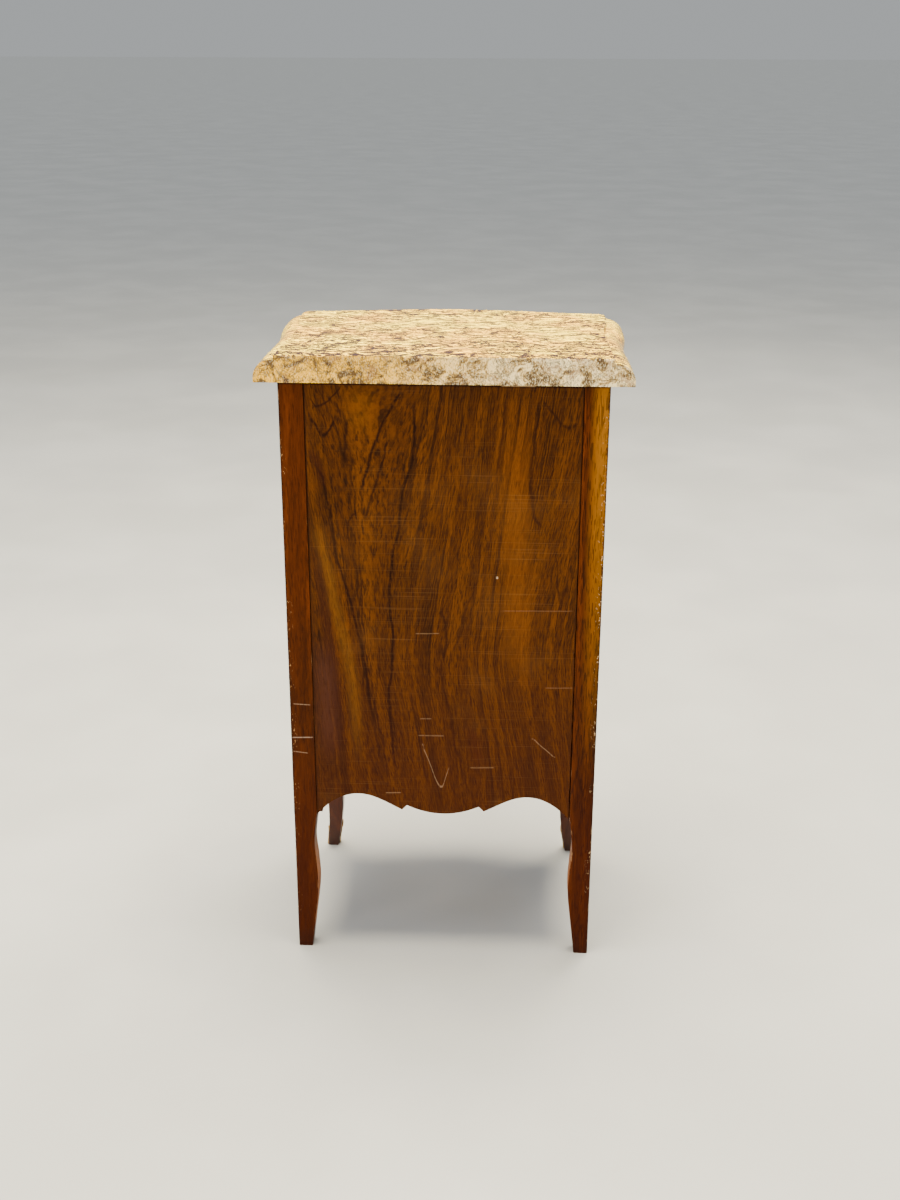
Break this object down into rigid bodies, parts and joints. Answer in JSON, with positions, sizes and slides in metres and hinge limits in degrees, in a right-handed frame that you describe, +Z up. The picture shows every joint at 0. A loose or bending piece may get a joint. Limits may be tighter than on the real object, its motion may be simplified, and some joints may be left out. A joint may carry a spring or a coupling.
{
  "type": "chest of drawers",
  "caption": "Small bow-fronted chest of drawers with a moulded loose marble top, short cabriole legs, scalloped edges and gilt drop handles",
  "frame": {"origin": "on the floor under the middle of the whole object", "axes": "+Z up, drawers open towards -Y, the sawn back of the marble is at +Y, left is -X"},
  "size_m": [0.4156, 0.3108, 0.745],
  "materials": {
    "marble": "polished veined marble, sawn at the back",
    "back_veneer": "figured walnut veneer, thin worn varnish",
    "post_walnut": "varnished walnut, worn at the feet",
    "walnut_veneer": "polished walnut veneer with dark banding",
    "frame_wood": "bare beech",
    "drawer_wood": "bare oak",
    "gilt_brass": "cast, gilt and lightly worn",
    "lock_iron": "dark patinated"
  },
  "bodies": {
    "case": {"marble_top": "marble", "rear_left_leg": "post_walnut", "front_left_leg": "post_walnut", "left_side_panel": "walnut_veneer", "bottom_left_runner": "frame_wood", "middle_left_runner": "frame_wood", "top_left_runner": "frame_wood", "left_corner_mount": "gilt_brass", "left_sabot": "gilt_brass", "rear_right_leg": "post_walnut", "front_right_leg": "post_walnut", "right_side_panel": "walnut_veneer", "bottom_right_runner": "frame_wood", "middle_right_runner": "frame_wood", "top_right_runner": "frame_wood", "right_corner_mount": "gilt_brass", "right_sabot": "gilt_brass", "back_panel": "back_veneer", "front_apron": "walnut_veneer", "lower_drawer_rail": "walnut_veneer", "upper_drawer_rail": "walnut_veneer", "top_front_rail": "walnut_veneer", "top_rear_rail": "frame_wood", "bottom_board": "frame_wood", "apron_mount": "gilt_brass"},
    "bottom_drawer": {"bottom_drawer_front": "walnut_veneer", "bottom_drawer_left_side": "drawer_wood", "bottom_drawer_right_side": "drawer_wood", "bottom_drawer_back": "drawer_wood", "bottom_drawer_bottom": "drawer_wood", "bottom_drawer_lock": "lock_iron", "bottom_drawer_escutcheon": "gilt_brass", "bottom_drawer_left_backplate": "gilt_brass", "bottom_drawer_right_backplate": "gilt_brass"},
    "bottom_left_bail": {"bottom_drawer_left_bail": "gilt_brass"},
    "bottom_right_bail": {"bottom_drawer_right_bail": "gilt_brass"},
    "middle_drawer": {"middle_drawer_front": "walnut_veneer", "middle_drawer_left_side": "drawer_wood", "middle_drawer_right_side": "drawer_wood", "middle_drawer_back": "drawer_wood", "middle_drawer_bottom": "drawer_wood", "middle_drawer_lock": "lock_iron", "middle_drawer_escutcheon": "gilt_brass", "middle_drawer_left_backplate": "gilt_brass", "middle_drawer_right_backplate": "gilt_brass"},
    "middle_left_bail": {"middle_drawer_left_bail": "gilt_brass"},
    "middle_right_bail": {"middle_drawer_right_bail": "gilt_brass"},
    "top_drawer": {"top_drawer_front": "walnut_veneer", "top_drawer_left_side": "drawer_wood", "top_drawer_right_side": "drawer_wood", "top_drawer_back": "drawer_wood", "top_drawer_bottom": "drawer_wood", "top_drawer_lock": "lock_iron", "top_drawer_escutcheon": "gilt_brass", "top_drawer_left_backplate": "gilt_brass", "top_drawer_right_backplate": "gilt_brass"},
    "top_left_bail": {"top_drawer_left_bail": "gilt_brass"},
    "top_right_bail": {"top_drawer_right_bail": "gilt_brass"}
  },
  "joints": [
    {"name": "bottom_drawer_slide", "type": "slide", "parent": "case", "child": "bottom_drawer", "axis": [0, -1, 0], "range_m": [0, 0.17]},
    {"name": "bottom_left_bail_hinge", "type": "hinge", "parent": "bottom_drawer", "child": "bottom_left_bail", "pos_m": [-0.07793, -0.13449, 0.31917], "axis": [-0.987, 0.1608, 0], "range_deg": [0, 80]},
    {"name": "bottom_right_bail_hinge", "type": "hinge", "parent": "bottom_drawer", "child": "bottom_right_bail", "pos_m": [0.07793, -0.13449, 0.31917], "axis": [-0.987, -0.1608, 0], "range_deg": [0, 80]},
    {"name": "middle_drawer_slide", "type": "slide", "parent": "case", "child": "middle_drawer", "axis": [0, -1, 0], "range_m": [0, 0.17]},
    {"name": "middle_left_bail_hinge", "type": "hinge", "parent": "middle_drawer", "child": "middle_left_bail", "pos_m": [-0.07793, -0.13449, 0.4775], "axis": [-0.987, 0.1608, 0], "range_deg": [0, 80]},
    {"name": "middle_right_bail_hinge", "type": "hinge", "parent": "middle_drawer", "child": "middle_right_bail", "pos_m": [0.07793, -0.13449, 0.4775], "axis": [-0.987, -0.1608, 0], "range_deg": [0, 80]},
    {"name": "top_drawer_slide", "type": "slide", "parent": "case", "child": "top_drawer", "axis": [0, -1, 0], "range_m": [0, 0.17]},
    {"name": "top_left_bail_hinge", "type": "hinge", "parent": "top_drawer", "child": "top_left_bail", "pos_m": [-0.07793, -0.13449, 0.63583], "axis": [-0.987, 0.1608, 0], "range_deg": [0, 80]},
    {"name": "top_right_bail_hinge", "type": "hinge", "parent": "top_drawer", "child": "top_right_bail", "pos_m": [0.07793, -0.13449, 0.63583], "axis": [-0.987, -0.1608, 0], "range_deg": [0, 80]}
  ]
}
